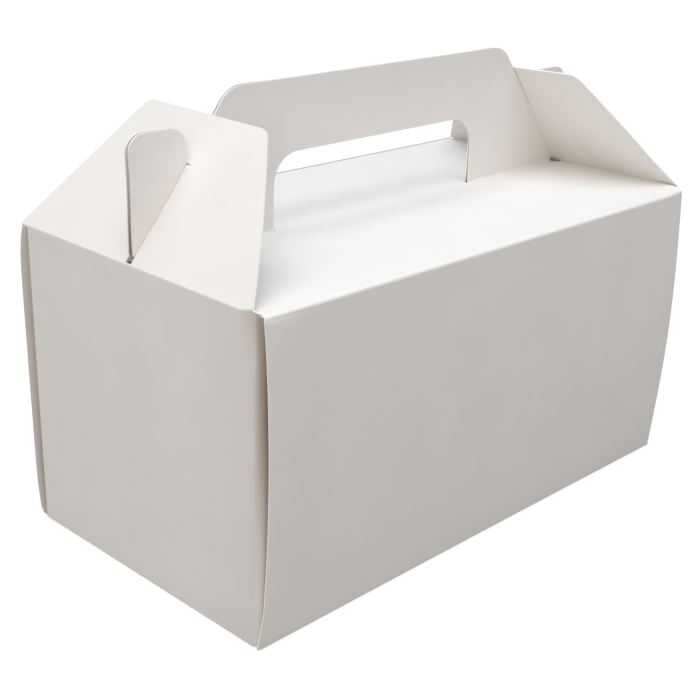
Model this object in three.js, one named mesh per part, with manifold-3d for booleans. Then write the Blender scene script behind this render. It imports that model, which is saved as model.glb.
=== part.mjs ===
// Pastry carrier box: a gable carton folded and glued from one die-cut sheet of white board.
// Millimetres, +Z up. The origin is the middle of the underside, and the front wall faces -Y.
import * as THREE from "three";
import { mergeVertices } from "three/addons/utils/BufferGeometryUtils.js";
import Module from "manifold-3d";

const wasm = await Module();
wasm.setup();

// Body, outside sizes
const LENGTH = 241;
const WIDTH = 129;
const HEIGHT = 120;

// Board and its folds
const BOARD = 0.5;
const SCORE_RADIUS = 0.8; // centre line of a scored fold
const CORNER_RADIUS = 2.5; // centre line of an upright corner, which is folded softly
const GLUE_FILM = 0.15;
const CLEARANCE = 0.3;
const FOLD_STEPS = 6;

// Upright corners
const GLUE_FLAP = 18;
const GLUE_FLAP_TAPER = 4; // how far each end of a glue flap slopes in
const RAW_EDGE_SETBACK = 1.5; // from the corner to the cut edge of the wall that laps it

// Handle panels, measured up from the roof
const RIDGE_SPREAD = 2.2; // between the two panels' middles at the roof
const HANDLE_TOP_SPREAD = 1.0;
const HANDLE_HEIGHT = 55.2;
const HANDLE_CORNER = 12;
const HOLE_LENGTH = 113;
const HOLE_HEIGHT = 28.3;
const HOLE_CORNER = 11.5;

// Lock tabs at the handle's ends
const TAB_WIDTH = 23.6;
const TAB_HEIGHT = 44;
const TAB_OUTER_CORNER = 6;
const TAB_INNER_CORNER = 7;
const TAB_RELIEF = 3; // the slanting cut at the foot of a tab

// End flaps
const FLAP_ANGLE = THREE.MathUtils.degToRad(53); // above level, when hooked over the tabs
const FLAP_LENGTH = 58.3;
const FLAP_SIDE_ANGLE = THREE.MathUtils.degToRad(28);
const FLAP_FOLD_INSET = 5.5; // beside the folded upright corner
const FLAP_RAW_INSET = 0.5; // beside the cut edge
const FLAP_CORNER = 5.5;
const SLOT_TICK_LENGTH = 6; // the short cross cut that ends the slot
const SLOT_TICK_WIDTH = 0.6;

// Levels and planes that the sizes above give
const BOARD_HALF = BOARD / 2;
const SCORE_OUTSIDE = SCORE_RADIUS + BOARD_HALF;
const END_MIDDLE = LENGTH / 2 - BOARD_HALF;
const WALL_MIDDLE = WIDTH / 2 - BOARD_HALF;
const LAP = BOARD + GLUE_FILM; // from a wall to the glue flap behind it
const END_GLUE_MIDDLE = END_MIDDLE - LAP;
const WALL_GLUE_MIDDLE = WALL_MIDDLE - LAP;
const FRONT_ROOF = HEIGHT - BOARD_HALF;
const BACK_ROOF = FRONT_ROOF - BOARD - CLEARANCE; // passes below the front roof's tongue
const ROOF_END = LENGTH / 2 - BOARD - CLEARANCE;
const HINGE_HEIGHT = HEIGHT - BOARD_HALF;
const RIDGE_HALF = RIDGE_SPREAD / 2;
const SLOT_HALF = RIDGE_HALF + BOARD_HALF + CLEARANCE;
const SLOT_END =
  (TAB_WIDTH + CLEARANCE - BOARD_HALF + BOARD_HALF * Math.sin(FLAP_ANGLE)) / Math.cos(FLAP_ANGLE);
const OVERLAP = 6; // stretch that two joined strips share
const BEYOND = 2; // how far a cutting block reaches past what it cuts

// Mesh
const WELD_DISTANCE = 1e-4;
const CORNER_SEGMENTS = 8; // round each corner of an outline

// Solids
function toSolid(geometry) {
  const plain = geometry.clone();
  plain.deleteAttribute("normal");
  plain.deleteAttribute("uv");
  const merged = mergeVertices(plain, WELD_DISTANCE);
  const vertProperties = merged.attributes.position.array;
  const triVerts = new Uint32Array(merged.index.array);
  return new wasm.Manifold(new wasm.Mesh({ numProp: 3, vertProperties, triVerts }));
}

function toGeometry(solid) {
  const { vertProperties, triVerts } = solid.getMesh();
  const geometry = new THREE.BufferGeometry();
  geometry.setAttribute("position", new THREE.BufferAttribute(vertProperties, 3));
  geometry.setIndex(new THREE.BufferAttribute(triVerts, 1));
  geometry.computeVertexNormals();
  return geometry;
}

const join = (solids) => solids.reduce((all, solid) => all.add(solid));
const cut = (solid, cutters) => cutters.reduce((rest, cutter) => rest.subtract(cutter), solid);

function block(xFrom, xTo, yFrom, yTo, zFrom, zTo) {
  const box = new THREE.BoxGeometry(xTo - xFrom, yTo - yFrom, zTo - zFrom);
  box.translate((xFrom + xTo) / 2, (yFrom + yTo) / 2, (zFrom + zTo) / 2);
  return toSolid(box);
}

// Outlines
// Each corner is [x, y, radius], and the radius may be left out.
function roundedShape(corners) {
  const shape = new THREE.Shape();
  corners.forEach(([x, y, radius = 0], i) => {
    const corner = new THREE.Vector2(x, y);
    const before = new THREE.Vector2(...corners.at(i - 1)).sub(corner).normalize();
    const after = new THREE.Vector2(...corners[(i + 1) % corners.length]).sub(corner).normalize();
    const half = Math.acos(before.dot(after)) / 2;
    const start = corner.clone().addScaledVector(before, radius / Math.tan(half));
    if (i === 0) shape.moveTo(start.x, start.y);
    else shape.lineTo(start.x, start.y);
    if (!radius) return;
    const end = corner.clone().addScaledVector(after, radius / Math.tan(half));
    const middle = before.clone().add(after).normalize();
    const centre = corner.clone().addScaledVector(middle, radius / Math.sin(half));
    const clockwise = before.cross(after) > 0;
    const from = start.clone().sub(centre).angle();
    const to = end.clone().sub(centre).angle();
    shape.absarc(centre.x, centre.y, radius, from, to, clockwise);
  });
  return shape;
}

// The middle line of a folded strip, as points with the direction that the strip runs in there.
function foldedLine(corners, radius) {
  const points = corners.map(([x, y]) => new THREE.Vector2(x, y));
  const line = [];
  points.forEach((point, i) => {
    const into = i ? point.clone().sub(points[i - 1]).normalize() : null;
    const out = i < points.length - 1 ? points[i + 1].clone().sub(point).normalize() : null;
    if (!into || !out) {
      line.push({ point, direction: into ?? out });
      return;
    }
    const turn = Math.atan2(into.cross(out), into.dot(out));
    const start = point.clone().addScaledVector(into, -radius * Math.tan(Math.abs(turn) / 2));
    const toCentre = new THREE.Vector2(-into.y, into.x).multiplyScalar(Math.sign(turn) * radius);
    const centre = start.clone().add(toCentre);
    for (let step = 0; step <= FOLD_STEPS; step++) {
      const angle = (turn * step) / FOLD_STEPS;
      const on = start.clone().rotateAround(centre, angle);
      line.push({ point: on, direction: into.clone().rotateAround(new THREE.Vector2(), angle) });
    }
  });
  return line;
}

// The section of a strip of board that follows a folded line. Its last end may be rounded.
function boardSection(line, roundLastEnd = false) {
  const side = ({ point, direction }, distance) =>
    new THREE.Vector2(-direction.y, direction.x).multiplyScalar(distance).add(point);
  const right = line.map((sample) => side(sample, -BOARD_HALF));
  const left = line.map((sample) => side(sample, BOARD_HALF));
  const last = line.at(-1);
  const cap = [];
  for (let step = 1; roundLastEnd && step < FOLD_STEPS; step++) {
    const angle = (Math.PI * step) / FOLD_STEPS;
    cap.push(right.at(-1).clone().rotateAround(last.point, angle));
  }
  return new THREE.Shape([...right, ...cap, ...left.reverse()]);
}

// Prisms
function prism(shape, depth, xAxis, yAxis, origin) {
  const settings = { depth, bevelEnabled: false, curveSegments: CORNER_SEGMENTS };
  const geometry = new THREE.ExtrudeGeometry(shape, settings);
  const zAxis = new THREE.Vector3().crossVectors(xAxis, yAxis);
  geometry.applyMatrix4(new THREE.Matrix4().makeBasis(xAxis, yAxis, zAxis).setPosition(origin));
  return geometry;
}

const X = new THREE.Vector3(1, 0, 0);
const Y = new THREE.Vector3(0, 1, 0);
const Z = new THREE.Vector3(0, 0, 1);
const alongX = (shape, from, to) => prism(shape, to - from, Y, Z, new THREE.Vector3(from, 0, 0));
const alongY = (shape, from, to) => prism(shape, to - from, X, Z, new THREE.Vector3(0, to, 0));
const alongZ = (shape, from, to) => prism(shape, to - from, X, Y, new THREE.Vector3(0, 0, from));

// A solid of the given geometry and its copy half a turn round the upright axis: the carton's
// corners lap each other the same way round.
function both(geometry) {
  return [toSolid(geometry), toSolid(geometry.clone().rotateZ(Math.PI))];
}

function bothBlocks(...limits) {
  const [xFrom, xTo, yFrom, yTo, zFrom, zTo] = limits;
  return [block(...limits), block(-xTo, -xFrom, -yTo, -yFrom, zFrom, zTo)];
}

// Long strip: front handle panel, front roof, front wall, base, back wall, back roof, back handle panel
function longStrip() {
  const top = HEIGHT + HANDLE_HEIGHT;
  const line = foldedLine(
    [
      [-HANDLE_TOP_SPREAD / 2, top],
      [-RIDGE_HALF, FRONT_ROOF],
      [-WALL_MIDDLE, FRONT_ROOF],
      [-WALL_MIDDLE, BOARD_HALF],
      [WALL_MIDDLE, BOARD_HALF],
      [WALL_MIDDLE, BACK_ROOF],
      [RIDGE_HALF, BACK_ROOF],
      [HANDLE_TOP_SPREAD / 2, top],
    ],
    SCORE_RADIUS,
  );
  return toSolid(alongX(boardSection(line), -LENGTH / 2, LENGTH / 2));
}

// Blocks that end the long strip's base, walls and roofs, each in its own place
function longStripTrims() {
  const rawEdge = -LENGTH / 2 + RAW_EDGE_SETBACK;
  const foldStart = END_GLUE_MIDDLE - CORNER_RADIUS;
  const outside = LENGTH / 2 + BEYOND;
  const wallOutside = -WIDTH / 2 - BEYOND;
  const wallInside = -WIDTH / 2 + SCORE_OUTSIDE;
  const aboveRoof = HEIGHT + BEYOND;
  return [
    ...bothBlocks(-outside, rawEdge, wallOutside, wallInside, -BEYOND, aboveRoof),
    ...bothBlocks(foldStart, outside, wallOutside, wallInside, -BEYOND, aboveRoof),
    ...bothBlocks(LENGTH / 2 - SCORE_OUTSIDE, outside, wallInside, -wallInside, -BEYOND, BEYOND),
    ...bothBlocks(ROOF_END, outside, wallOutside, -wallOutside, BACK_ROOF - BOARD, HEIGHT),
  ];
}

// The handle's outline above the roof, with a lock tab at each end that hooks over an end flap
function handleShape() {
  const tan = Math.tan(FLAP_ANGLE);
  const seat = (BOARD_HALF + CLEARANCE) / Math.sin(FLAP_ANGLE);
  const hinge = BOARD_HALF;
  const underFlap = (rise) => hinge + seat + (rise + BOARD_HALF) / tan;
  const notchRise = (TAB_WIDTH - hinge - seat) * tan - BOARD_HALF;
  const half = [
    [TAB_RELIEF, -BEYOND],
    [TAB_RELIEF, 0],
    [0, TAB_RELIEF],
    [0, TAB_HEIGHT, TAB_OUTER_CORNER],
    [TAB_WIDTH, TAB_HEIGHT, TAB_INNER_CORNER],
    [TAB_WIDTH, notchRise],
    [underFlap(HANDLE_HEIGHT), HANDLE_HEIGHT, HANDLE_CORNER],
  ];
  const left = half.map(([inward, rise, radius]) => [-LENGTH / 2 + inward, HEIGHT + rise, radius]);
  const right = half.map(([inward, rise, radius]) => [LENGTH / 2 - inward, HEIGHT + rise, radius]);
  return roundedShape([...left, ...right.reverse()]);
}

// Everything round the handle's outline, to cut the two handle panels with
function handleTrim() {
  const side = LENGTH / 2 + BEYOND;
  const low = HEIGHT;
  const high = HEIGHT + HANDLE_HEIGHT + BEYOND;
  const depth = RIDGE_SPREAD + 2 * BEYOND;
  const frame = block(-side, side, -depth, depth, low, high);
  return frame.subtract(toSolid(alongY(handleShape(), -2 * depth, 2 * depth)));
}

// The hand hole's outline, from the given level up
function holeShape(inset, from) {
  const side = HOLE_LENGTH / 2 - inset;
  const top = HOLE_HEIGHT - inset;
  return [
    [-side, from],
    [side, from],
    [side, top, HOLE_CORNER - inset],
    [-side, top, HOLE_CORNER - inset],
  ];
}

// The hole runs down through the ridge folds, since the roofs go on through it as tongues.
function handHole() {
  const reach = RIDGE_HALF + SCORE_RADIUS;
  const belowRoofs = BACK_ROOF - BOARD - HEIGHT;
  const outline = holeShape(0, belowRoofs).map(([x, rise, radius]) => [x, HEIGHT + rise, radius]);
  return toSolid(alongY(roundedShape(outline), -reach, reach));
}

// A tongue is the hand hole's cut-out, left on its roof and laid across to the other side of the ridge.
function tongue(roof, direction) {
  const outline = holeShape(CLEARANCE, -OVERLAP).map(([x, y, radius]) => [
    direction * x,
    direction * (y - RIDGE_HALF),
    radius,
  ]);
  return toSolid(alongZ(roundedShape(outline), roof - BOARD_HALF, roof + BOARD_HALF));
}

// End wall: a strip that rises from the base's end and stops at the round edge that its flap turns on
function endWalls() {
  const line = foldedLine(
    [
      [-END_MIDDLE + SCORE_OUTSIDE + OVERLAP, BOARD_HALF],
      [-END_MIDDLE, BOARD_HALF],
      [-END_MIDDLE, HINGE_HEIGHT],
    ],
    SCORE_RADIUS,
  );
  const foldStart = -WALL_GLUE_MIDDLE + CORNER_RADIUS;
  const rawEdge = WIDTH / 2 - RAW_EDGE_SETBACK;
  return both(alongY(boardSection(line, true), foldStart, rawEdge));
}

// Upright corner folds, each ending in a glue flap behind the wall that laps it
function uprightFold(line) {
  const low = SCORE_OUTSIDE + CLEARANCE;
  const high = BACK_ROOF - BOARD_HALF - CLEARANCE;
  return both(alongZ(boardSection(foldedLine(line, CORNER_RADIUS)), low, high));
}

function uprightFolds() {
  const reach = CORNER_RADIUS + GLUE_FLAP;
  const start = CORNER_RADIUS + OVERLAP;
  const behindFrontWall = [
    [-END_MIDDLE, -WALL_GLUE_MIDDLE + start],
    [-END_MIDDLE, -WALL_GLUE_MIDDLE],
    [-END_MIDDLE + reach, -WALL_GLUE_MIDDLE],
  ];
  const behindEndWall = [
    [END_GLUE_MIDDLE - start, -WALL_MIDDLE],
    [END_GLUE_MIDDLE, -WALL_MIDDLE],
    [END_GLUE_MIDDLE, -WALL_MIDDLE + reach],
  ];
  return [...uprightFold(behindFrontWall), ...uprightFold(behindEndWall)];
}

// Wedges that slope the upper and lower ends of the glue flaps
function glueFlapTapers() {
  const low = SCORE_OUTSIDE + CLEARANCE;
  const high = BACK_ROOF - BOARD_HALF - CLEARANCE;
  const start = CORNER_RADIUS + BOARD;
  const end = CORNER_RADIUS + GLUE_FLAP + BEYOND;
  const slope = (GLUE_FLAP_TAPER * (end - start)) / GLUE_FLAP;
  const wedge = (level, way) => [
    [start, level],
    [end, level + way * slope],
    [end, level - way * BEYOND],
    [start, level - way * BEYOND],
  ];
  const shapes = [wedge(low, 1), wedge(high, -1)];
  const toFilm = BOARD_HALF + GLUE_FILM / 2;
  return shapes.flatMap((outline) => {
    const behindFront = roundedShape(outline.map(([away, z]) => [-END_MIDDLE + away, z]));
    const behindEnd = roundedShape(outline.map(([away, z]) => [-WALL_MIDDLE + away, z]));
    return [
      ...both(alongY(behindFront, -WALL_GLUE_MIDDLE - toFilm, -WALL_GLUE_MIDDLE + BOARD)),
      ...both(alongX(behindEnd, END_GLUE_MIDDLE - BOARD, END_GLUE_MIDDLE + toFilm)),
    ];
  });
}

function makeCarton() {
  const strip = cut(longStrip(), [...longStripTrims(), handleTrim(), handHole()]);
  const corners = cut(join(uprightFolds()), glueFlapTapers());
  return join([strip, ...endWalls(), corners, tongue(FRONT_ROOF, 1), tongue(BACK_ROOF, -1)]);
}

// End flap, drawn flat: x runs along its fold towards the folded corner, and y up the flap from the fold
function endFlapGeometry() {
  const foldSide = WIDTH / 2 - FLAP_FOLD_INSET;
  const rawSide = WIDTH / 2 - FLAP_RAW_INSET;
  const foot = BOARD_HALF + CLEARANCE;
  const narrowing = (FLAP_LENGTH - foot) * Math.tan(FLAP_SIDE_ANGLE);
  const tick = SLOT_END - SLOT_TICK_WIDTH;
  const shape = roundedShape([
    [SLOT_HALF, foot],
    [foldSide, foot],
    [foldSide - narrowing, FLAP_LENGTH, FLAP_CORNER],
    [-rawSide + narrowing, FLAP_LENGTH, FLAP_CORNER],
    [-rawSide, foot],
    [-SLOT_HALF, foot],
    [-SLOT_HALF, tick],
    [-SLOT_TICK_LENGTH / 2, tick],
    [-SLOT_TICK_LENGTH / 2, SLOT_END],
    [SLOT_TICK_LENGTH / 2, SLOT_END],
    [SLOT_TICK_LENGTH / 2, tick],
    [SLOT_HALF, tick],
  ]);
  return prism(shape, BOARD, X, Y, new THREE.Vector3(0, 0, -BOARD_HALF));
}

// Finish and assembly
const whiteBoard = new THREE.MeshStandardMaterial({
  color: 0xf1efec,
  roughness: 0.55,
  metalness: 0,
  name: "white_board",
});

function endFlap(name, turn) {
  const flap = new THREE.Mesh(endFlapGeometry(), whiteBoard);
  flap.name = name;
  flap.position.set(-END_MIDDLE, 0, HINGE_HEIGHT);
  const upFlap = new THREE.Vector3(Math.cos(FLAP_ANGLE), 0, Math.sin(FLAP_ANGLE));
  const alongFold = Y.clone().negate();
  const outward = new THREE.Vector3().crossVectors(alongFold, upFlap);
  flap.setRotationFromMatrix(new THREE.Matrix4().makeBasis(alongFold, upFlap, outward));
  const end = new THREE.Group();
  end.rotation.z = turn;
  end.add(flap);
  return end;
}

const carton = new THREE.Mesh(toGeometry(makeCarton()), whiteBoard);
carton.name = "carton";

const box = new THREE.Group();
box.name = "pastry_carrier_box";
box.add(carton);
box.add(endFlap("end_flap_left", 0));
box.add(endFlap("end_flap_right", Math.PI));

export default box;
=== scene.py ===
"""Pastry carrier box: a gable carton folded from one sheet of coated white board, on a pale floor."""

import math

import bpy
import numpy as np
from mathutils import Matrix, Vector
from mathutils.geometry import delaunay_2d_cdt


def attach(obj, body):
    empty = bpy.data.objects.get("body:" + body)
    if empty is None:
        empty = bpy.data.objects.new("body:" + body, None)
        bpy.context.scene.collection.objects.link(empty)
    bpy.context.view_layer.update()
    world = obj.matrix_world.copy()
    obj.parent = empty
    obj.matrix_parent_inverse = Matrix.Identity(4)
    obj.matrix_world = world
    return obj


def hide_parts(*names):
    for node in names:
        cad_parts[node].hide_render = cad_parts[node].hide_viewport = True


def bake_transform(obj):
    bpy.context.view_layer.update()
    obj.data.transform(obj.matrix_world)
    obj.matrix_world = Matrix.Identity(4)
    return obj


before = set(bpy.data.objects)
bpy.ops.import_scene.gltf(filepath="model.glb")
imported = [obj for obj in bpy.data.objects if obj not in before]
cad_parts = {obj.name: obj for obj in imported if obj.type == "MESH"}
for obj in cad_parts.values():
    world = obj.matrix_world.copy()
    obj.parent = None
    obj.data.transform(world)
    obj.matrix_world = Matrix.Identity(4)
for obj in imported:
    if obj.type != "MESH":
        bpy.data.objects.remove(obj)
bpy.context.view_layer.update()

# Sizes in millimetres, as the frame has them. The front wall faces -Y.
MM = 0.001
LENGTH = 241.0
WIDTH = 129.0
HEIGHT = 120.0
BOARD = 0.5
SCORE_RADIUS = 1.0
CORNER_RADIUS = 2.5
LAP = BOARD + 0.15
RAW_EDGE_SETBACK = 1.5
GLUE_FLAP = 18.0
GLUE_FLAP_STRAIGHT = 5.0  # before its taper
GLUE_FLAP_TAPER = 4.0
GAP = 0.3

RIDGE_HALF = 1.1
HANDLE_TOP_HALF = 0.5
HANDLE_HEIGHT = 55.2
HANDLE_CORNER = 12.0
HOLE_LENGTH = 113.0
HOLE_HEIGHT = 28.3
HOLE_CORNER = 11.5
TAB_WIDTH = 23.6
TAB_HEIGHT = {"left": 44.0, "right": 42.9}
TAB_OUTER_CORNER = 6.0
TAB_INNER_CORNER = 7.0
TAB_RELIEF = 3.0
TAB_LEAN = 2.3  # of a tab's outer edge: a third of it out at the top, the rest in at the foot
RIDGE_NOTCH = 4.0  # in from the end wall, at the ridge's ends, under the slot's foot
RIDGE_NOTCH_SIDE = (3.0, 5.0)  # out from the ridge: its straight end, its slanted end

FLAP_ANGLE = {"left": math.radians(53), "right": math.radians(51.3)}
FLAP_LENGTH = {"left": 58.3, "right": 59.8}
FLAP_CORNER = 5.5
FLAP_SCORE_RADIUS = 0.7
SLOT_PLAY = 0.15
SLOT_FOOT = {"left": GAP, "right": 2.3}  # above the crease
SLOT_TICK_REACH = {"left": (3.0, 3.0), "right": (1.9, 3.0)}  # to each side of the slot's middle, as drawn
SLOT_TICK_WIDTH = 0.5
SLOT_POINTS = 9  # up each of its sides

END_MIDDLE = LENGTH / 2 - BOARD / 2
WALL_MIDDLE = WIDTH / 2 - BOARD / 2
FRONT_ROOF = HEIGHT - BOARD / 2
BACK_ROOF = FRONT_ROOF - BOARD - GAP
ROOF_END = LENGTH / 2 - BOARD - GAP
BASE_END = LENGTH / 2 - SCORE_RADIUS - BOARD / 2
TOP = HEIGHT + HANDLE_HEIGHT

MESH_STEP = 3.2  # between the points of the board's mesh
MESH_CLEARANCE = 0.8  # between its grid and its lines along folds
FOLD_STEPS = 6
FOLD_MARGIN = 0.4  # from a fold to the line just outside it
ARC_STEP = math.radians(9)
SHARP_ANGLE = math.radians(40)


def ease(value, low, high):
    """0 below the low value and 1 above the high one, with a smooth rise between."""
    t = min(max((value - low) / (high - low), 0.0), 1.0)
    return t * t * (3 - 2 * t)


# Folded lines


class FoldedLine:
    """The middle line of a strip of board: straight between corners, which all turn with one radius."""

    def __init__(self, corners, radius):
        points = [Vector(corner) for corner in corners]
        self.stretches = []
        self.folds = []
        along = 0.0
        place = points[0]
        for before, corner, after in zip(points, points[1:], points[2:]):
            into = (corner - before).normalized()
            out = (after - corner).normalized()
            turn = math.atan2(into.cross(out), into.dot(out))
            fold_start = corner - into * radius * math.tan(abs(turn) / 2)
            run = (fold_start - place).length
            arc = abs(turn) * radius
            self.stretches.append((along, place, into, 0.0))
            self.stretches.append((along + run, fold_start, into, turn / arc))
            self.folds.append((along + run, along + run + arc))
            along += run + arc
            place = corner + out * radius * math.tan(abs(turn) / 2)
        last = (points[-1] - points[-2]).normalized()
        self.stretches.append((along, place, last, 0.0))
        self.length = along + (points[-1] - place).length

    def at(self, along):
        """The point at that distance along the line."""
        start, place, direction, curve = self.stretches[0]
        for stretch in self.stretches[1:]:
            if stretch[0] > along:
                break
            start, place, direction, curve = stretch
        run = along - start
        if not curve:
            return place + direction * run
        angle = curve * run
        across = Vector((-direction.y, direction.x))
        return place + (direction * math.sin(angle) + across * (1 - math.cos(angle))) / curve


def fold_rows(folds):
    """Levels that carry a mesh line across each fold, with one just outside it at each side."""
    rows = []
    for start, end in folds:
        rows += [start - FOLD_MARGIN, end + FOLD_MARGIN]
        rows += [start + (end - start) * step / FOLD_STEPS for step in range(FOLD_STEPS + 1)]
    return rows


# Outlines on the flat blank


def rounded(corners):
    """Points round an outline, whose corners are (x, y) or (x, y, radius)."""
    outline = []
    for index, corner in enumerate(corners):
        here = Vector(corner[:2])
        radius = corner[2] if len(corner) > 2 else 0.0
        if not radius:
            outline.append(here)
            continue
        before = (Vector(corners[index - 1][:2]) - here).normalized()
        after = (Vector(corners[(index + 1) % len(corners)][:2]) - here).normalized()
        half = before.angle(after) / 2
        centre = here + (before + after).normalized() * radius / math.sin(half)
        start = here + before * radius / math.tan(half) - centre
        turn = math.copysign(math.pi - 2 * half, before.cross(after) * -1)
        steps = max(2, math.ceil(abs(turn) / ARC_STEP))
        for step in range(steps + 1):
            angle = turn * step / steps
            turned = Vector(
                (
                    start.x * math.cos(angle) - start.y * math.sin(angle),
                    start.x * math.sin(angle) + start.y * math.cos(angle),
                )
            )
            outline.append(centre + turned)
    return outline


def divided(outline, step):
    """The outline with its long sides divided."""
    points = []
    for here, there in zip(outline, outline[1:] + outline[:1]):
        count = max(1, round((there - here).length / step))
        points += [here.lerp(there, part / count) for part in range(count)]
    return points


def inside(points, outline):
    """Which of the points lie inside a closed outline."""
    here = np.array([tuple(corner) for corner in outline])
    there = np.roll(here, -1, axis=0)
    x, y = points[:, :1], points[:, 1:]
    crosses = (here[:, 1] > y) != (there[:, 1] > y)
    rise = np.where(there[:, 1] == here[:, 1], 1e-9, there[:, 1] - here[:, 1])
    at = here[:, 0] + (y - here[:, 1]) * (there[:, 0] - here[:, 0]) / rise
    return (crosses & (x < at)).sum(axis=1) % 2 == 1


def nearness(points, outline):
    """The distance from each point to a closed outline."""
    here = np.array([tuple(corner) for corner in outline])
    run = np.roll(here, -1, axis=0) - here
    offset = points[:, None, :] - here[None, :, :]
    share = np.clip((offset * run).sum(2) / (run * run).sum(1), 0, 1)
    away = offset - share[:, :, None] * run
    return np.sqrt((away**2).sum(2)).min(axis=1)


class Board:
    """Stretches of folded board, gathered as one middle surface that then gets its thickness."""

    def __init__(self):
        self.points = []
        self.normals = []
        self.creases = []
        self.painted_shades = []
        self.triangles = []
        self.known = {}

    def add(self, outline, place, holes=(), rows=(), columns=(), crease=None, lap=None):
        """Fills an outline of the flat blank with triangles and folds them with place(x, y).
        Rows are (y, x from, x to) and columns are (x, y from, y to): mesh lines along folds."""
        loops = [divided(loop, MESH_STEP) for loop in (outline, *holes)]
        points, edges = [], []
        for loop in loops:
            start = len(points)
            points += [Vector(point) for point in loop]
            edges += [(start + i, start + (i + 1) % len(loop)) for i in range(len(loop))]
        low = Vector((min(p.x for p in loops[0]), min(p.y for p in loops[0])))
        high = Vector((max(p.x for p in loops[0]), max(p.y for p in loops[0])))
        xs = np.arange(math.ceil(low.x / MESH_STEP), math.floor(high.x / MESH_STEP) + 1) * MESH_STEP
        ys = np.arange(math.ceil(low.y / MESH_STEP), math.floor(high.y / MESH_STEP) + 1) * MESH_STEP
        row_levels = np.array([row[0] for row in rows] or [1e9])
        column_levels = np.array([column[0] for column in columns] or [1e9])
        free_ys = [y for y in ys if np.abs(row_levels - y).min() > MESH_CLEARANCE]
        free_xs = [x for x in xs if np.abs(column_levels - x).min() > MESH_CLEARANCE]
        grid = np.array([(x, y) for x in free_xs for y in free_ys])
        lines = []
        for y, start, end in rows:
            lines.append([(x, y) for x in (start, *[x for x in xs if start < x < end], end)])
        for x, start, end in columns:
            lines.append([(x, y) for y in (start, *[y for y in free_ys if start < y < end], end)])
        clear = np.ones(len(grid), bool)
        for number, loop in enumerate(loops):
            within = inside(grid, loop)
            clear &= within if number == 0 else ~within
            clear &= nearness(grid, loop) > MESH_STEP / 2.5
        points += [Vector(p) for p in grid[clear]]
        for line in lines:
            start = len(points)
            points += [Vector(p) for p in line]
            edges += [(start + i, start + i + 1) for i in range(len(line) - 1)]
        made, _, faces, _, _, _ = delaunay_2d_cdt(points, edges, [], 0, 1e-4)
        flat = np.array([tuple(p) for p in made])
        middles = flat[np.array([list(face) for face in faces])].mean(axis=1)
        keep = inside(middles, loops[0])
        for loop in loops[1:]:
            keep &= ~inside(middles, loop)
        kept = [face for face, good in zip(faces, keep) if good]
        numbers = {}
        for corner in sorted({c for face in kept for c in face}):
            numbers[corner] = self.put(made[corner], place, crease, lap)
        flip = None
        for face in kept:
            a, b, c = (numbers[corner] for corner in face)
            if len({a, b, c}) < 3:
                continue
            if flip is None:
                cross = (self.points[b] - self.points[a]).cross(self.points[c] - self.points[a])
                flip = cross.dot(self.normals[a]) < 0
            self.triangles.append((a, c, b) if flip else (a, b, c))

    def put(self, flat, place, crease, lap):
        """Adds one point of the middle surface, or finds the one that is already there with that normal."""
        step = 0.02
        x, y = flat
        point = place(x, y)
        along = place(x + step, y) - place(x - step, y)
        across = place(x, y + step) - place(x, y - step)
        normal = across.cross(along).normalized()
        key = tuple(round(v, 3) for v in (*point, *(normal * step)))
        if key not in self.known:
            self.known[key] = len(self.points)
            self.points.append(point)
            self.normals.append(normal)
            self.creases.append(crease(x, y) if crease else 0.0)
            self.painted_shades.append(lap(x, y) if lap else 0.0)
        return self.known[key]

    def piece(self, name, turn=0.0):
        """The finished piece, turned upright, with both faces of the board and its cut edges."""
        half = BOARD / 2
        spin = Matrix.Rotation(turn, 4, "Z")
        outer = [spin @ (p + n * half) * MM for p, n in zip(self.points, self.normals)]
        inner = [spin @ (p - n * half) * MM for p, n in zip(self.points, self.normals)]
        count = len(outer)
        sides = dict.fromkeys(pair for a, b, c in self.triangles for pair in ((a, b), (b, c), (c, a)))
        faces = self.triangles + [(count + a, count + c, count + b) for a, b, c in self.triangles]
        sheet = len(faces)
        faces += [(b, a, count + a, count + b) for a, b in sides if (b, a) not in sides]
        mesh = bpy.data.meshes.new(name)
        mesh.from_pydata(outer + inner, [], faces)
        mesh.materials.append(WHITE_BOARD)
        mesh.materials.append(CUT_EDGE)
        rims = np.zeros(len(faces), np.int32)
        rims[sheet:] = 1
        mesh.polygons.foreach_set("material_index", rims)
        mesh.polygons.foreach_set("use_smooth", np.ones(len(faces), bool))
        # The crease attribute marks worn folds; the other marks where painted brown shade goes.
        for key, values in (("crease", self.creases), ("lap", self.painted_shades)):
            attribute = mesh.attributes.new(key, "FLOAT", "POINT")
            attribute.data.foreach_set("value", np.array(values * 2, np.float32))
        mesh.set_sharp_from_angle(angle=SHARP_ANGLE)
        mesh.validate()
        mesh.update()
        piece = bpy.data.objects.new(name, mesh)
        bpy.context.scene.collection.objects.link(piece)
        return piece


# Board finishes

COATING = ((0.845, 0.826, 0.8, 1), (0.872, 0.857, 0.834, 1))  # where it clouds, where it is clear
WORN_FOLD = (0.9, 0.89, 0.873, 1)
# Painted shade: the brown that darkens the turned corners, a line along the back roof's edge and the tab low
# in its slot, where shade falls.
PAINTED_SHADE_BROWN = (0.4, 0.33, 0.27, 1)
CUT_FIBRE = ((0.95, 0.94, 0.92, 1), (0.98, 0.975, 0.965, 1))


def nodes_of(material):
    material.use_nodes = True
    tree = material.node_tree
    tree.nodes.clear()

    def node(kind, settings=None, **inputs):
        made = tree.nodes.new(kind)
        for key, value in (settings or {}).items():
            setattr(made, key, value)
        for key, value in inputs.items():
            socket = made.inputs[key.replace("_", " ")]
            if isinstance(value, bpy.types.NodeSocket):
                tree.links.new(value, socket)
            else:
                socket.default_value = value
        return made

    return tree, node


def colour_ramp(node, fac, stops, colours):
    """A ramp from one colour to another, between two stops."""
    ramp = node("ShaderNodeValToRGB", Fac=fac)
    for element, stop, colour in zip(ramp.color_ramp.elements, stops, colours):
        element.position = stop
        element.color = colour
    return ramp.outputs["Color"]


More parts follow.
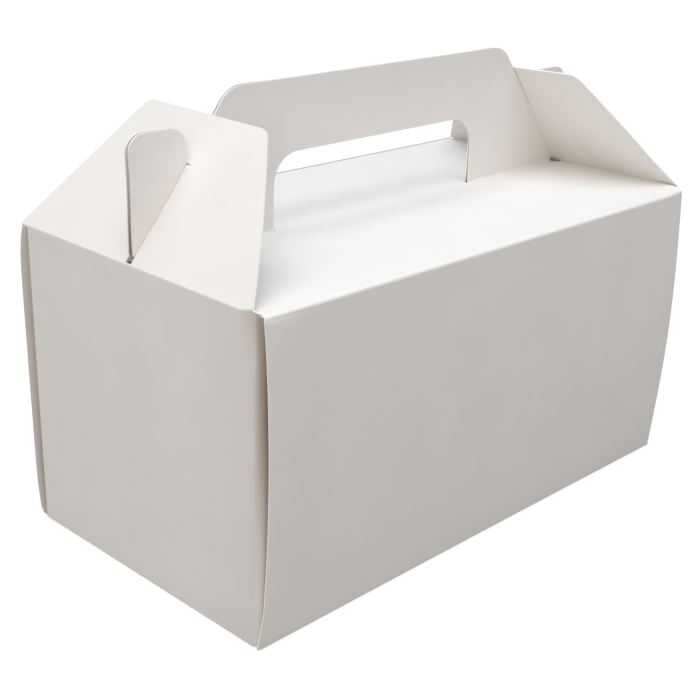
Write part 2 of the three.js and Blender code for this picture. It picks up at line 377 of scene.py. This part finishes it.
def coated_board():
    """Smooth white coating: faint clouding, a fine tooth, paler worn folds, and painted brown shade in the
    turned corners, along the back roof's edge and low on the back tab.
    """
    material = bpy.data.materials.new("white_board")
    tree, node = nodes_of(material)
    place = node("ShaderNodeTexCoord").outputs["Object"]
    cloud = node("ShaderNodeTexNoise", Vector=place, Scale=38.0, Detail=3.0, Roughness=0.55)
    tint = colour_ramp(node, cloud.outputs["Fac"], (0.32, 0.68), COATING)
    fold = node("ShaderNodeAttribute", {"attribute_name": "crease"}).outputs["Fac"]
    worn = node("ShaderNodeTexNoise", Vector=place, Scale=900.0, Detail=2.0)
    wear = node("ShaderNodeMath", {"operation": "MULTIPLY"})
    tree.links.new(fold, wear.inputs[0])
    tree.links.new(worn.outputs["Fac"], wear.inputs[1])
    pale = node("ShaderNodeMix", {"data_type": "RGBA"})
    tree.links.new(wear.outputs[0], pale.inputs["Factor"])
    tree.links.new(tint, pale.inputs[6])
    pale.inputs[7].default_value = WORN_FOLD
    # Painted shade: the attribute mixes the brown shade colour into the coating.
    lap = node("ShaderNodeAttribute", {"attribute_name": "lap"}).outputs["Fac"]
    painted_shade_mix = node("ShaderNodeMix", {"data_type": "RGBA"})
    tree.links.new(lap, painted_shade_mix.inputs["Factor"])
    tree.links.new(pale.outputs[2], painted_shade_mix.inputs[6])
    painted_shade_mix.inputs[7].default_value = PAINTED_SHADE_BROWN
    tooth = node("ShaderNodeTexNoise", Vector=place, Scale=1500.0, Detail=4.0, Roughness=0.6)
    wave = node("ShaderNodeTexNoise", Vector=place, Scale=55.0, Detail=1.0)
    gloss = node("ShaderNodeMapRange", Value=tooth.outputs["Fac"])
    gloss.inputs["To Min"].default_value = 0.47
    gloss.inputs["To Max"].default_value = 0.6
    rise = node("ShaderNodeBump", Height=wave.outputs["Fac"], Strength=0.12, Distance=0.0006)
    grain = node("ShaderNodeBump", Height=tooth.outputs["Fac"], Strength=0.16, Distance=0.00005)
    tree.links.new(rise.outputs["Normal"], grain.inputs["Normal"])
    shader = node("ShaderNodeBsdfPrincipled")
    shader.inputs["Specular IOR Level"].default_value = 0.35
    tree.links.new(painted_shade_mix.outputs[2], shader.inputs["Base Color"])
    tree.links.new(gloss.outputs["Result"], shader.inputs["Roughness"])
    tree.links.new(grain.outputs["Normal"], shader.inputs["Normal"])
    output = node("ShaderNodeOutputMaterial")
    tree.links.new(shader.outputs["BSDF"], output.inputs["Surface"])
    return material


def cut_board():
    """The board's die-cut edge: paler and rougher, with short fibres."""
    material = bpy.data.materials.new("cut_edge")
    tree, node = nodes_of(material)
    place = node("ShaderNodeTexCoord").outputs["Object"]
    fibre = node("ShaderNodeTexNoise", Vector=place, Scale=2600.0, Detail=3.0, Roughness=0.7)
    tint = colour_ramp(node, fibre.outputs["Fac"], (0.3, 0.7), CUT_FIBRE)
    rough = node("ShaderNodeBump", Height=fibre.outputs["Fac"], Strength=0.3, Distance=0.00006)
    shader = node("ShaderNodeBsdfPrincipled", Roughness=0.85)
    shader.inputs["Specular IOR Level"].default_value = 0.2
    tree.links.new(tint, shader.inputs["Base Color"])
    tree.links.new(rough.outputs["Normal"], shader.inputs["Normal"])
    output = node("ShaderNodeOutputMaterial")
    tree.links.new(shader.outputs["BSDF"], output.inputs["Surface"])
    return material


WHITE_BOARD = coated_board()
CUT_EDGE = cut_board()

# How far the empty box stands out from true, in millimetres

FRONT_LEAN = (1.4, 2.0)  # at the right end: foot, top
FRONT_BOW = (0.4, 2.4)  # all along, and more at the right end
BACK_STEP = (0.3, 0.8)  # all along, and more at the left end
BACK_LEAN = (0.3, 1.6)  # the same, at the top
BACK_BOW = (0.4, 1.9)  # the same, half way up
RIDGE_BACK = (1.2, 1.0)  # all along, and more at the right end
RIDGE_TWIST = (2.0, 0.9)  # left end, right end
RIDGE_TWIST_HEIGHT = 35.0
ROOF_ARCH = 1.4
ROOF_CORNER_LIFT = 1.2


def to_right(x):
    """0 at the left end and 1 at the right end."""
    return (x + LENGTH / 2) / LENGTH


def share_of_height(z):
    """0 at the foot of the walls and 1 at their top."""
    return min(max(z / HEIGHT, 0), 1)


def front_out(x, z):
    """The front wall leans and bows outward, more towards its right end."""
    right = to_right(x)
    level = share_of_height(z)
    lean = FRONT_LEAN[0] * right**2 * (1 - level) + FRONT_LEAN[1] * right * level
    return lean + (FRONT_BOW[0] + FRONT_BOW[1] * right) * math.sin(math.pi * level)


def back_out(x, z):
    """The back wall stands out at its left end, where its corner isn't held down to the end wall's edge."""
    left = max(1 - to_right(x), 0) ** 1.5
    level = share_of_height(z)
    lean = BACK_STEP[0] + BACK_STEP[1] * left + (BACK_LEAN[0] + BACK_LEAN[1] * left) * level
    return lean + (BACK_BOW[0] + left * BACK_BOW[1] * (1 + level)) * (1 - (2 * level - 1) ** 8)


def ridge_shift(x, z):
    """The ridge and the handle stand a little towards the back, and twist at their ends."""
    low = 1 - ease(z, HEIGHT, HEIGHT + RIDGE_TWIST_HEIGHT)
    twist = RIDGE_TWIST[0] * ease(-x, 95, LENGTH / 2) + RIDGE_TWIST[1] * ease(x, 65, LENGTH / 2)
    return RIDGE_BACK[0] + RIDGE_BACK[1] * to_right(x) + twist * low


def roof_rise(x, y):
    """The front roof arches up beside the right end flap."""
    across = min(max(-y / WALL_MIDDLE, 0), 1)
    return ROOF_ARCH * ease(x, 50, 112) * math.sin(math.pi * across**0.8)


def corner_lift(x, y, z):
    """The front roof's right corner stands a little high, beside the end flap's foot."""
    near_end = ease(x, 104, LENGTH / 2)
    near_edge = ease(-y, 38, 60) * (1 - 0.6 * ease(-y, 60, WALL_MIDDLE))
    return ROOF_CORNER_LIFT * near_end * near_edge * ease(z, 100, 119)


def spread(point):
    """A point of the long strip, moved with the ridge and with the walls that lean out."""
    x, y, z = point
    moved = ridge_shift(x, z) * (1 - ease(abs(y), 2, WALL_MIDDLE))
    if y < 0:
        moved -= front_out(x, z) * ease(-y, 4, WALL_MIDDLE)
        z += roof_rise(x, y) * ease(z, BACK_ROOF - 0.5, BACK_ROOF) + corner_lift(x, y, z)
    else:
        moved += back_out(x, z) * ease(y, 4, WALL_MIDDLE)
    return Vector((x, y + moved, z))


# Long strip: front handle panel, front roof, front wall, base, back wall, back roof, back handle panel

STRIP = FoldedLine(
    [
        (-HANDLE_TOP_HALF, TOP),
        (-RIDGE_HALF, FRONT_ROOF),
        (-WALL_MIDDLE, FRONT_ROOF),
        (-WALL_MIDDLE, BOARD / 2),
        (WALL_MIDDLE, BOARD / 2),
        (WALL_MIDDLE, BACK_ROOF),
        (RIDGE_HALF, BACK_ROOF),
        (HANDLE_TOP_HALF, TOP),
    ],
    SCORE_RADIUS,
)
FRONT_RIDGE, FRONT_EDGE, FRONT_FOOT, BACK_FOOT, BACK_EDGE, BACK_RIDGE = STRIP.folds
WALL_TOP = FRONT_ROOF - SCORE_RADIUS
WALL_CORNER_RADIUS = {1: 2.5, -1: 1.3}  # front wall at the right end, back wall at the left end
CORNER_TOP = 0.06  # from the middle of the roof's fold down to the cut above a turned corner
GLUE_LOW = 0.8
RAW_EDGE_LEVELS = (118.6, 117, 113, 106, 92, 70, 50, 30, 15, 6, 1.4)
RAW_EDGE_FLARE = 1.6  # past the end wall, at the foot
RAW_EDGE_FLARE_HEIGHT = 14.0
RAW_EDGE_BULGE = 1.7
RAW_EDGE_BULGE_REACH = 30.0
ROOF_CORNER_SETBACK = 0.6
TAB_SPLAY = {"left": 0.35, "right": 0.15}
HANDLE_SPLAY = 1.7
TONGUE_WAVE = 0.15
BACK_HOLE_MORE = 1.1  # at its right end
BACK_EDGE_SHADE_BAND = (0.9, 1.5)  # painted brown shade, to each side of the back roof's edge: full, gone


def middle(fold):
    return (fold[0] + fold[1]) / 2


def front_level(z):
    """Where the front handle panel has that height, on the flat blank."""
    return TOP - z


def back_level(z):
    return STRIP.length - (TOP - z)


def front_wall_level(z):
    return FRONT_EDGE[1] + (WALL_TOP - z)


def back_wall_level(z):
    return BACK_EDGE[0] - (BACK_ROOF - SCORE_RADIUS - z)


def handle_side(side):
    """Half of the handle's outline: distance in from the end, height above the roof, corner radius."""
    angle = FLAP_ANGLE[side]
    tan = math.tan(angle)
    seat = BOARD / 2 + (BOARD / 2 + GAP) / math.sin(angle)

    def under_flap(rise):
        return seat + (rise + BOARD / 2) / tan

    return [
        (under_flap(HANDLE_HEIGHT), HANDLE_HEIGHT, HANDLE_CORNER),
        (TAB_WIDTH, (TAB_WIDTH - seat) * tan - BOARD / 2),
        (TAB_WIDTH, TAB_HEIGHT[side], TAB_INNER_CORNER),
        (-TAB_LEAN / 3, TAB_HEIGHT[side], TAB_OUTER_CORNER),
        (TAB_LEAN * 2 / 3, TAB_RELIEF),
        (TAB_RELIEF + 0.4, 0.5),
    ]


def corner_of(sign):
    """Where the long wall's turned corner at that end starts and stops, on the flat blank."""
    start = END_MIDDLE - LAP - WALL_CORNER_RADIUS[sign]
    return start, start + WALL_CORNER_RADIUS[sign] * math.pi / 2


def strip_side(sign, level, wall_level, ridge, edge, foot, folded):
    """One side of the strip from the handle's top to the base, on the front or the back."""
    outline = handle_side("left" if sign < 0 else "right")
    side = [(LENGTH / 2 - inward, level(HEIGHT + rise), *radius) for inward, rise, *radius in outline]
    roof_end = ROOF_END - ROOF_CORNER_SETBACK if folded and sign > 0 else ROOF_END
    onward = 1 if edge > middle(ridge) else -1
    notch_straight, notch_slant = (middle(ridge) + onward * out for out in RIDGE_NOTCH_SIDE)
    side.append((LENGTH / 2 - RIDGE_NOTCH, middle(ridge)))
    side += [(LENGTH / 2 - RIDGE_NOTCH, notch_straight), (roof_end, notch_slant)]
    if folded:
        start, wrap = corner_of(sign)
        low, high = wall_level(GLUE_LOW), edge + CORNER_TOP * sign
        taper = GLUE_FLAP_TAPER * sign
        if sign > 0:
            side += [(roof_end, edge - 1.8), (start + 0.8, edge - 0.05)]
        else:
            side.append((roof_end, edge))
        side.append((start, edge))
        side += [(start + (wrap - start) * step / FOLD_STEPS, high) for step in range(FOLD_STEPS + 1)]
        side.append((wrap + GLUE_FLAP_STRAIGHT, high))
        side += [(wrap + GLUE_FLAP, high + taper), (wrap + GLUE_FLAP, low - taper)]
        side += [(wrap + GLUE_FLAP_STRAIGHT, low), (start, low), (start, foot)]
    else:
        side.append((ROOF_END, edge))
        for z in RAW_EDGE_LEVELS:
            setback = RAW_EDGE_SETBACK * math.sin(math.pi * z / HEIGHT) ** 0.45
            flare = RAW_EDGE_FLARE * (1 - ease(z, 0, RAW_EDGE_FLARE_HEIGHT))
            side.append((LENGTH / 2 - setback + flare, wall_level(z)))
    side.append((BASE_END, foot))
    return [(sign * x, *rest) for x, *rest in side]


def strip_outline():
    """The whole strip on the flat blank: the front left and the back right edges are raw."""
    front = (front_level, front_wall_level, FRONT_RIDGE, middle(FRONT_EDGE), middle(FRONT_FOOT))
    back = (back_level, back_wall_level, BACK_RIDGE, middle(BACK_EDGE), middle(BACK_FOOT))
    left = strip_side(-1, *front, False) + strip_side(-1, *back, True)[::-1]
    right = strip_side(1, *back, False) + strip_side(1, *front, True)[::-1]
    return rounded(left + right)


def round_corner(past, radius):
    """How far a point past the end of a wall gets along the wall and in from it, turned round its corner."""
    angle = min(past / radius, math.pi / 2)
    rest = max(past - radius * math.pi / 2, 0.0)
    return radius * math.sin(angle), radius * (1 - math.cos(angle)) + rest


def handle_splay(x, z):
    """How far the back handle panel stands off from the front one near the ends, past the end flaps."""
    angle = FLAP_ANGLE["left" if x < 0 else "right"]
    past_slot = (abs(x) - (END_MIDDLE - (z - FRONT_ROOF) / math.tan(angle))) * math.sin(angle)
    tab = TAB_SPLAY["left" if x < 0 else "right"] * ease(past_slot, 1.0, 24.0)
    corner = HANDLE_SPLAY * ease(abs(x), 48, 92) * ease(z, HEIGHT + 22, TOP) * ease(-past_slot, 0.0, 8.0)
    return tab + corner


def strip_place(x, along):
    """Where a point of the flat strip goes on the folded box."""
    y, z = STRIP.at(along)
    sign = 1 if x > 0 else -1
    start = corner_of(sign)[0]
    if abs(x) > start:
        if sign > 0 and middle(FRONT_EDGE) + CORNER_TOP / 2 < along < FRONT_FOOT[0] + 0.6:
            z = WALL_TOP - (along - FRONT_EDGE[1])
            run, inward = round_corner(abs(x) - start, WALL_CORNER_RADIUS[sign])
            raised = z + corner_lift(start, -WALL_MIDDLE, z)
            return Vector((start + run, -WALL_MIDDLE - front_out(start, z) + inward, raised))
        if sign < 0 and BACK_FOOT[1] - 0.6 < along < middle(BACK_EDGE) - CORNER_TOP / 2:
            z = BACK_ROOF - SCORE_RADIUS - (BACK_EDGE[0] - along)
            run, inward = round_corner(abs(x) - start, WALL_CORNER_RADIUS[sign])
            return Vector((-start - run, WALL_MIDDLE + back_out(-start, z) - inward, z))
    if along > BACK_RIDGE[1]:
        y += handle_splay(x, z)
    if FRONT_EDGE[1] <= along <= FRONT_FOOT[0]:
        raw = ease(-x, LENGTH / 2 - RAW_EDGE_BULGE_REACH, LENGTH / 2)
        y -= RAW_EDGE_BULGE * raw * math.sin(math.pi * z / HEIGHT) ** 0.8 if 0 < z < HEIGHT else 0
    return spread((x, y, z))


def tongue_place(direction, joint, roof, above):
    """A tongue runs on level from its roof, over or under the other one, with a slight wave at the ridge."""
    start = STRIP.at(joint)

    def place(x, along):
        reach = abs(along - joint)
        if (along > joint) == (direction > 0):
            y, z = STRIP.at(along)
            return spread((x, y, z))
        wave = above * TONGUE_WAVE * math.sin(math.pi * min(reach / 16, 1)) ** 2
        y = start.x + direction * reach
        return Vector((x, y + ridge_shift(x, roof) * (1 - ease(abs(y), 2, WALL_MIDDLE)), roof + wave))

    return place


def hole_corners(inset, joint, top, more=0.0):
    """The hand hole's cut, from the roof's end of the ridge fold up. That end has a point at each step."""
    side = HOLE_LENGTH / 2 - inset
    way = 1 if top > joint else -1
    steps = np.arange(-math.floor(side / MESH_STEP), math.floor(side / MESH_STEP) + 1) * MESH_STEP
    tongue_side = HOLE_LENGTH / 2 - GAP
    steps = [x for x in steps if abs(x) < tongue_side - 0.5]
    foot = [-tongue_side, *steps, tongue_side]
    if side > tongue_side:
        foot = [-side, *foot, side + more]
    edge = top - way * inset
    radius = HOLE_CORNER - inset
    return [(x, joint) for x in foot] + [(side + more, edge, radius), (-side, edge, radius)]


def strip_painted_shade(x, along):
    """Painted brown shade: on the back wall's turned corner, in a line along the back roof's edge and low on
    the back tab beside its slot, where shade falls.
    """
    start, wrap = corner_of(-1)
    near_end = ease(-x, END_MIDDLE - 3.2, END_MIDDLE - 1.6)
    # Painted shade low on the back handle panel's outer edge, under the slot.
    if along > BACK_RIDGE[0]:
        z = TOP - (STRIP.length - along)
        low = 1 - 0.75 * ease(z, HEIGHT + 6, HEIGHT + 22)
        return 0.95 * near_end * low * (1 - ease(z, HEIGHT + 22, HEIGHT + 38))
    # Painted shade in a thin line along the back roof's edge.
    if along > BACK_EDGE[0]:
        return 0.8 * (1 - ease(abs(along - BACK_EDGE[1]), *BACK_EDGE_SHADE_BAND))
    # Painted shade on the back wall's turned corner, darker behind the end wall's edge.
    if along > BACK_FOOT[0]:
        z = BACK_ROOF - SCORE_RADIUS - (BACK_EDGE[0] - along)
        behind = ease(-x - wrap, 1.0, back_out(-start, z) + 1.5)
        return 0.5 * ease(-x, start - 1.0, wrap + 0.5) + 0.5 * behind
    return 0.0


def strip_crease(x, along):
    """1 on a fold and 0 a little way from it."""
    near = max(1 - abs(along - middle(fold)) / 1.3 for fold in STRIP.folds)
    return max(near, 0.0)


def make_carton():
    """The long strip with its glue flaps and the two tongues from the hand hole."""
    board = Board()
    front_joint, back_joint = FRONT_RIDGE[1] + FOLD_MARGIN, BACK_RIDGE[0] - FOLD_MARGIN
    front_top, back_top = front_level(HEIGHT + HOLE_HEIGHT), back_level(HEIGHT + HOLE_HEIGHT)
    levels = fold_rows(STRIP.folds) + [BACK_EDGE[1] + BACK_EDGE_SHADE_BAND[0], BACK_EDGE[1] + BACK_EDGE_SHADE_BAND[1]]
    rows = [(y, -LENGTH / 2 - 1, LENGTH / 2 + 1) for y in levels]
    columns = []
    front_span = (middle(FRONT_EDGE) + CORNER_TOP, FRONT_FOOT[0] - 0.6)
    back_span = (BACK_FOOT[1] + 0.6, middle(BACK_EDGE) - CORNER_TOP)
    for sign, span in ((1, front_span), (-1, back_span)):  # lines down the two turned corners
        start, wrap = corner_of(sign)
        for step in range(-1, FOLD_STEPS + 2):
            columns.append((sign * (start + (wrap - start) * step / FOLD_STEPS), *span))
    holes = [
        rounded(hole_corners(0, front_joint, front_top)),
        rounded(hole_corners(0, back_joint, back_top, BACK_HOLE_MORE)),
    ]
    board.add(strip_outline(), strip_place, holes, rows, columns, strip_crease, strip_painted_shade)
    front_tongue = rounded(hole_corners(GAP, front_joint, front_top))
    back_tongue = rounded(hole_corners(GAP, back_joint, back_top))
    board.add(front_tongue, tongue_place(1, front_joint, FRONT_ROOF, 1))
    board.add(back_tongue, tongue_place(-1, back_joint, BACK_ROOF, 0))
    piece = board.piece("carton_board")
    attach(piece, "carton")
    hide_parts("carton")


# End wall with its glue flap and its slotted end flap, drawn for the left end

# Beside the folded corner, and beside the raw edge: y at the fold, y at the tip, length
FLAP_SIDES = {
    "left": ((-59.4, -27.3, 58.2), (66.9, 34.9, 58.5)),
    "right": ((-63.6, -27.5, 58.0), (62.7, 31.0, 61.1)),
}
FLAP_SIDE_BOW = {"left": (1.25, 0.0), "right": (1.0, 1.2)}  # folded side, raw side
FLAP_SIDE_SHARES = (0.2, 0.35, 0.5, 0.65, 0.8, 0.92)
CREASE_RISE = {"left": (1.6, 0.0), "right": (0.0, 1.2)}  # at the folded corner, at the raw edge
CREASE_BLEND = (-0.3, 0.2)  # from the roof's middle level, where the bend at the hinge starts and ends
END_WALL_BOW = 0.5
END_RAW_LOW = 60.3
END_RAW_HIGH = 62.8


def bowed_side(tip, foot, crease_line, length, bow):
    """Points down a side of an end flap, from near its tip to near the crease."""
    points = []
    for share in FLAP_SIDE_SHARES:
        across = tip + (foot - tip) * share + bow * math.sin(math.pi * share)
        points.append((across, crease_line + length * (1 - share)))
    return points


def end_panel(side):
    """An end wall with its glue flap and its slotted end flap."""
    angle = FLAP_ANGLE[side]
    way = 1 if side == "left" else -1
    length = FLAP_LENGTH[side]
    line = FoldedLine(
        [
            (END_MIDDLE - BASE_END, BOARD / 2),
            (0, BOARD / 2),
            (0, FRONT_ROOF),
            (length * math.cos(angle), FRONT_ROOF + length * math.sin(angle)),
        ],
        FLAP_SCORE_RADIUS,
    )
    foot, hinge = line.folds
    wall_foot = BOARD / 2 + FLAP_SCORE_RADIUS
    start = WALL_MIDDLE - LAP - CORNER_RADIUS
    wrap = start + CORNER_RADIUS * math.pi / 2

    def level(z):
        return foot[1] + z - wall_foot

    def corner_rise(y, along):
        """The crease bends up a little where it nears a corner."""
        near = ease(along, hinge[0] - 14, hinge[0]) * (1 - ease(along, hinge[1], hinge[1] + 18))
        folded, raw = CREASE_RISE[side]
        at_fold = folded * ease(-y, 53, 60) * (1 - ease(-y, start - 0.2, start + 1.6))
        return (at_fold + raw * ease(y, 40, 62)) * near

    def place(y, along):
        """Where a point of the flat panel goes on the folded box."""
        flat = y
        inward, z = line.at(along)
        x = -END_MIDDLE + inward
        if y < -start and foot[0] < along < hinge[0]:
            z = along - foot[1] + wall_foot
            run, inward = round_corner(-y - start, CORNER_RADIUS)
            x = -END_MIDDLE + inward
            y = -start - run
        z += corner_rise(flat, along)
        x -= END_WALL_BOW * math.sin(math.pi * share_of_height(z)) * math.cos(math.pi * y / WIDTH / 1.1)
        return Vector((x, y, z))

    def slot_edge(outer, along):
        """A side of the slot, which follows the two handle panels up."""
        inward, z = line.at(along)
        share = (z - FRONT_ROOF) / (TOP - FRONT_ROOF)
        half = RIDGE_HALF + (HANDLE_TOP_HALF - RIDGE_HALF) * share + BOARD / 2 + SLOT_PLAY
        return Vector((way * ridge_shift(way * (inward - END_MIDDLE), z) + outer * half, along))

    (fold_foot, fold_tip, fold_length), (raw_foot, raw_tip, raw_length) = FLAP_SIDES[side]
    crease_line = middle(hinge)
    low, high = level(GLUE_LOW), level(FRONT_ROOF - 0.5)

    fold_bow, raw_bow = FLAP_SIDE_BOW[side]
    folded_side = bowed_side(fold_tip, fold_foot, crease_line, fold_length, -fold_bow)
    raw_side = bowed_side(raw_tip, raw_foot, crease_line, raw_length, raw_bow)[::-1]
    if -fold_foot < start:
        fold_foot_corner = [(fold_foot, crease_line + 0.3), (fold_foot - 0.3, high)]
    else:
        fold_foot_corner = [(fold_foot, hinge[0] + 0.2), (-start, hinge[0] + 0.05)]
    outline = rounded(
        [
            (-start, 0),
            (END_RAW_LOW, 0),
            (END_RAW_LOW, foot[1]),
            (END_RAW_HIGH, hinge[0] - 0.4),
            (raw_foot, crease_line + 0.1),
            *raw_side,
            (raw_tip, crease_line + raw_length, FLAP_CORNER),
            (fold_tip, crease_line + fold_length, FLAP_CORNER),
            *folded_side,
            *fold_foot_corner,
            (-start, high),
            (-wrap, high),
            (-wrap - GLUE_FLAP, high - GLUE_FLAP_TAPER),
            (-wrap - GLUE_FLAP, low + GLUE_FLAP_TAPER),
            (-wrap, low),
            (-start, low),
        ]
    )
    slot_end = crease_line + (TAB_WIDTH + GAP - BOARD / 2 + BOARD / 2 * math.sin(angle)) / math.cos(angle)
    tick = slot_end - SLOT_TICK_WIDTH
    climb = np.linspace(hinge[1] + SLOT_FOOT[side], tick, SLOT_POINTS)
    top = slot_edge(0, tick).x
    far, near = SLOT_TICK_REACH[side]
    slot = [slot_edge(1, along) for along in climb]
    slot += [Vector((top + far, tick)), Vector((top + far, slot_end))]
    slot += [Vector((top - near, slot_end)), Vector((top - near, tick))]
    slot += [slot_edge(-1, along) for along in climb[::-1]]
    rows = [(y, -start - 1, raw_foot + 1) for y in fold_rows(line.folds)]
    arc = [-start - (wrap - start) * step / FOLD_STEPS for step in range(-1, FOLD_STEPS + 2)]
    columns = [(x, foot[1] + 0.6, hinge[0] - 0.6) for x in arc]

    def crease(y, along):
        return max(max(1 - abs(along - middle(fold)) / 1.3 for fold in line.folds), 0.0)

    def lap(y, along):
        """Painted brown shade, darker towards the folded corner, most at its top."""
        if along > hinge[0]:
            return 0.0
        z = along - foot[1] + wall_foot
        # Painted shade: a faint wide darkening towards the corner, and a strong band on the turned corner
        # itself.
        soft = 0.1 * ease(-y, 20, start) + 0.3 * ease(-y, 52, start) * ease(z, 105, 118)
        strong = (0.08 + 0.92 * ease(z, 20, 105)) * ease(-y, start - 1.2, wrap - 1.4)
        return min(soft + strong, 1.0)

    board = Board()
    board.add(outline, place, [slot], rows, columns, crease, lap)
    turn = 0.0 if side == "left" else math.pi
    piece = board.piece(f"end_panel_{side}", turn)
    x = -way * END_MIDDLE * MM
    low_end, high_end = ((x, 0, (FRONT_ROOF + rise) * MM) for rise in CREASE_BLEND)
    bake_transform(piece)
    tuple(low_end)
    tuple(high_end)
    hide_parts(f"end_flap_{side}")


make_carton()
end_panel("left")
end_panel("right")

# Floor, lamps and camera, in metres

FLOOR_SIZE = 7.0
FLOOR_GAP = 0.0002
FLOOR_LIT = 0.32  # how pale the floor is to the light that it throws on the box
FLOOR_SEEN = 0.85  # how pale it is to the camera, under its glow
FLOOR_GLOW = (1.12, 1.3)  # near the box, far off
FLOOR_GLOW_SHARE = 0.75
WORLD_LEVEL = 0.495
LAMP_TARGET = Vector((0, 0, 0.1))


def pale_floor():
    """A plain pale floor that the camera and reflections see as nearly white, with a soft shadow on it."""
    material = bpy.data.materials.new("pale_floor")
    tree, node = nodes_of(material)
    paths = node("ShaderNodeLightPath")
    seen = node("ShaderNodeMath", {"operation": "MAXIMUM"})
    tree.links.new(paths.outputs["Is Camera Ray"], seen.inputs[0])
    tree.links.new(paths.outputs["Is Glossy Ray"], seen.inputs[1])
    floor = node("ShaderNodeBsdfDiffuse", Color=(FLOOR_LIT, FLOOR_LIT, FLOOR_LIT, 1))
    white = node("ShaderNodeBsdfDiffuse", Color=(FLOOR_SEEN, FLOOR_SEEN, FLOOR_SEEN, 1))
    place = node("ShaderNodeTexCoord").outputs["Object"]
    away = node("ShaderNodeVectorMath", {"operation": "LENGTH"})
    tree.links.new(place, away.inputs[0])
    level = node("ShaderNodeMapRange", Value=away.outputs["Value"])
    spans = {"From Min": 0.5, "From Max": 2.0, "To Min": FLOOR_GLOW[0], "To Max": FLOOR_GLOW[1]}
    for name, value in spans.items():
        level.inputs[name].default_value = value
    glow = node("ShaderNodeEmission", Color=(1, 1, 1, 1))
    tree.links.new(level.outputs["Result"], glow.inputs["Strength"])
    shown = node("ShaderNodeMixShader")
    shown.inputs[0].default_value = FLOOR_GLOW_SHARE
    tree.links.new(white.outputs[0], shown.inputs[1])
    tree.links.new(glow.outputs[0], shown.inputs[2])
    mix = node("ShaderNodeMixShader")
    tree.links.new(seen.outputs[0], mix.inputs[0])
    tree.links.new(floor.outputs[0], mix.inputs[1])
    tree.links.new(shown.outputs[0], mix.inputs[2])
    output = node("ShaderNodeOutputMaterial")
    tree.links.new(mix.outputs[0], output.inputs["Surface"])
    half = FLOOR_SIZE / 2
    mesh = bpy.data.meshes.new("floor")
    corners = [(-half, -half, 0), (half, -half, 0), (half, half, 0), (-half, half, 0)]
    mesh.from_pydata(corners, [], [(0, 1, 2, 3)])
    mesh.materials.append(material)
    floor_plane = bpy.data.objects.new("floor", mesh)
    floor_plane.location.z = -FLOOR_GAP
    bpy.context.scene.collection.objects.link(floor_plane)


def studio_world():
    """Even pale light from all round, where the camera sees plain white."""
    world = bpy.data.worlds.new("studio")
    bpy.context.scene.world = world
    tree, node = nodes_of(world)
    paths = node("ShaderNodeLightPath")
    seen = node("ShaderNodeMath", {"operation": "MAXIMUM"})
    tree.links.new(paths.outputs["Is Camera Ray"], seen.inputs[0])
    tree.links.new(paths.outputs["Is Transmission Ray"], seen.inputs[1])
    even = node("ShaderNodeBackground", Color=(0.985, 0.992, 1.0, 1), Strength=WORLD_LEVEL)
    white = node("ShaderNodeBackground", Color=(1, 1, 1, 1), Strength=1.0)
    mix = node("ShaderNodeMixShader")
    tree.links.new(seen.outputs[0], mix.inputs[0])
    tree.links.new(even.outputs[0], mix.inputs[1])
    tree.links.new(white.outputs[0], mix.inputs[2])
    output = node("ShaderNodeOutputWorld")
    tree.links.new(mix.outputs[0], output.inputs["Surface"])


def soft_lamp(name, place, size, power, colour):
    """A soft box that points at the middle of the box."""
    lamp = bpy.data.lights.new(name, "AREA")
    lamp.shape = "RECTANGLE"
    lamp.size, lamp.size_y = size
    lamp.energy = power
    lamp.color = colour
    holder = bpy.data.objects.new(name, lamp)
    holder.location = place
    holder.rotation_euler = (LAMP_TARGET - Vector(place)).to_track_quat("-Z", "Y").to_euler()
    bpy.context.scene.collection.objects.link(holder)


pale_floor()
studio_world()
soft_lamp("top_softbox", (-0.22, -0.08, 1.5), (1.3, 1.1), 14.9, (0.89, 0.94, 1.0))
soft_lamp("side_softbox", (-1.3, -0.85, 0.72), (1.0, 0.9), 6.3, (1.0, 0.83, 0.67))

camera_data = bpy.data.cameras.new("camera")
camera_data.sensor_width = 36.0
camera_data.lens = 67.5
camera = bpy.data.objects.new("camera", camera_data)
forward = Vector((0.67640, 0.63572, -0.37196)).normalized()
right = forward.cross(Vector((0.24434, 0.28274, 0.92755))).normalized()
up = right.cross(forward)
camera.matrix_world = Matrix.Translation((-0.37327, -0.33836, 0.25971)) @ Matrix(
    (right, up, -forward)
).transposed().to_4x4()
bpy.context.scene.collection.objects.link(camera)
bpy.context.scene.camera = camera
bpy.context.scene.view_settings.view_transform = "Standard"

bpy.context.view_layer.update()
